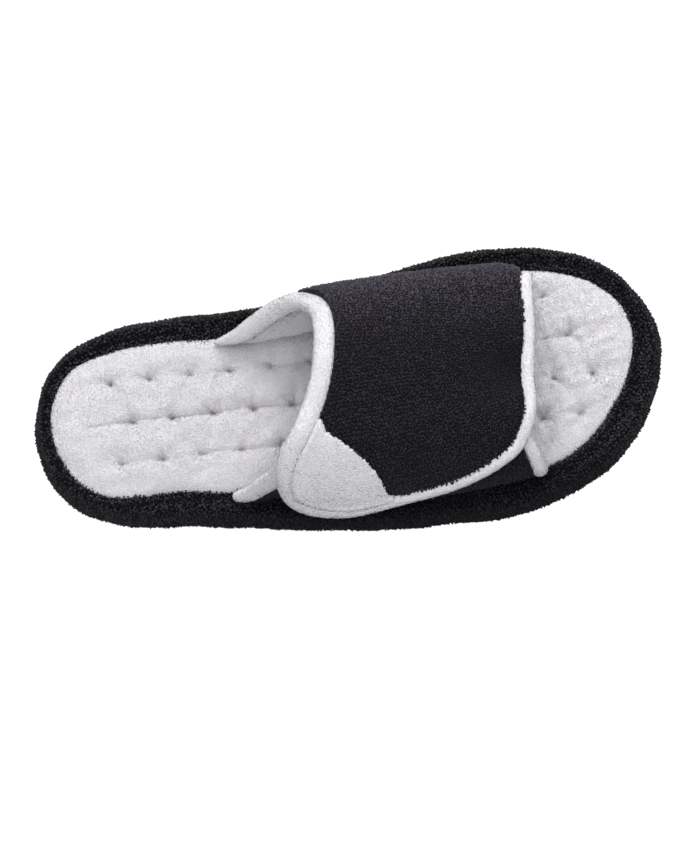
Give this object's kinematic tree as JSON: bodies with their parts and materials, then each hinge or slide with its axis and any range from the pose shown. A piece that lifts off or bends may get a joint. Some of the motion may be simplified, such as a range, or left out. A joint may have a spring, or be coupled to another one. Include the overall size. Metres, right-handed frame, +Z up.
{
  "type": "slide slipper",
  "caption": "Open-toe, open-back slide slipper for the right foot: padded terry sole with a plush rim, quilted insole, and a wide instep strap lapped over a side flap with pale edge bindings.",
  "frame": {"origin": "on the floor, under the middle of the slipper's length and width", "axes": "+X from heel to toe, +Y to the inner (big toe) side, +Z up"},
  "size_m": [0.2634, 0.113, 0.0828],
  "materials": {
    "rubber": "matte moulded sheet",
    "black_terry": "short black terry pile",
    "pale_terry": "short pale grey terry pile"
  },
  "bodies": {
    "root": {"outsole": "rubber", "midsole_rim": "black_terry", "insole": "pale_terry", "upper_flap": "black_terry", "upper_strap": "black_terry", "corner_patch": "pale_terry", "strap_binding": "pale_terry", "flap_collar_binding": "pale_terry", "flap_toe_binding": "pale_terry"}
  },
  "joints": []
}
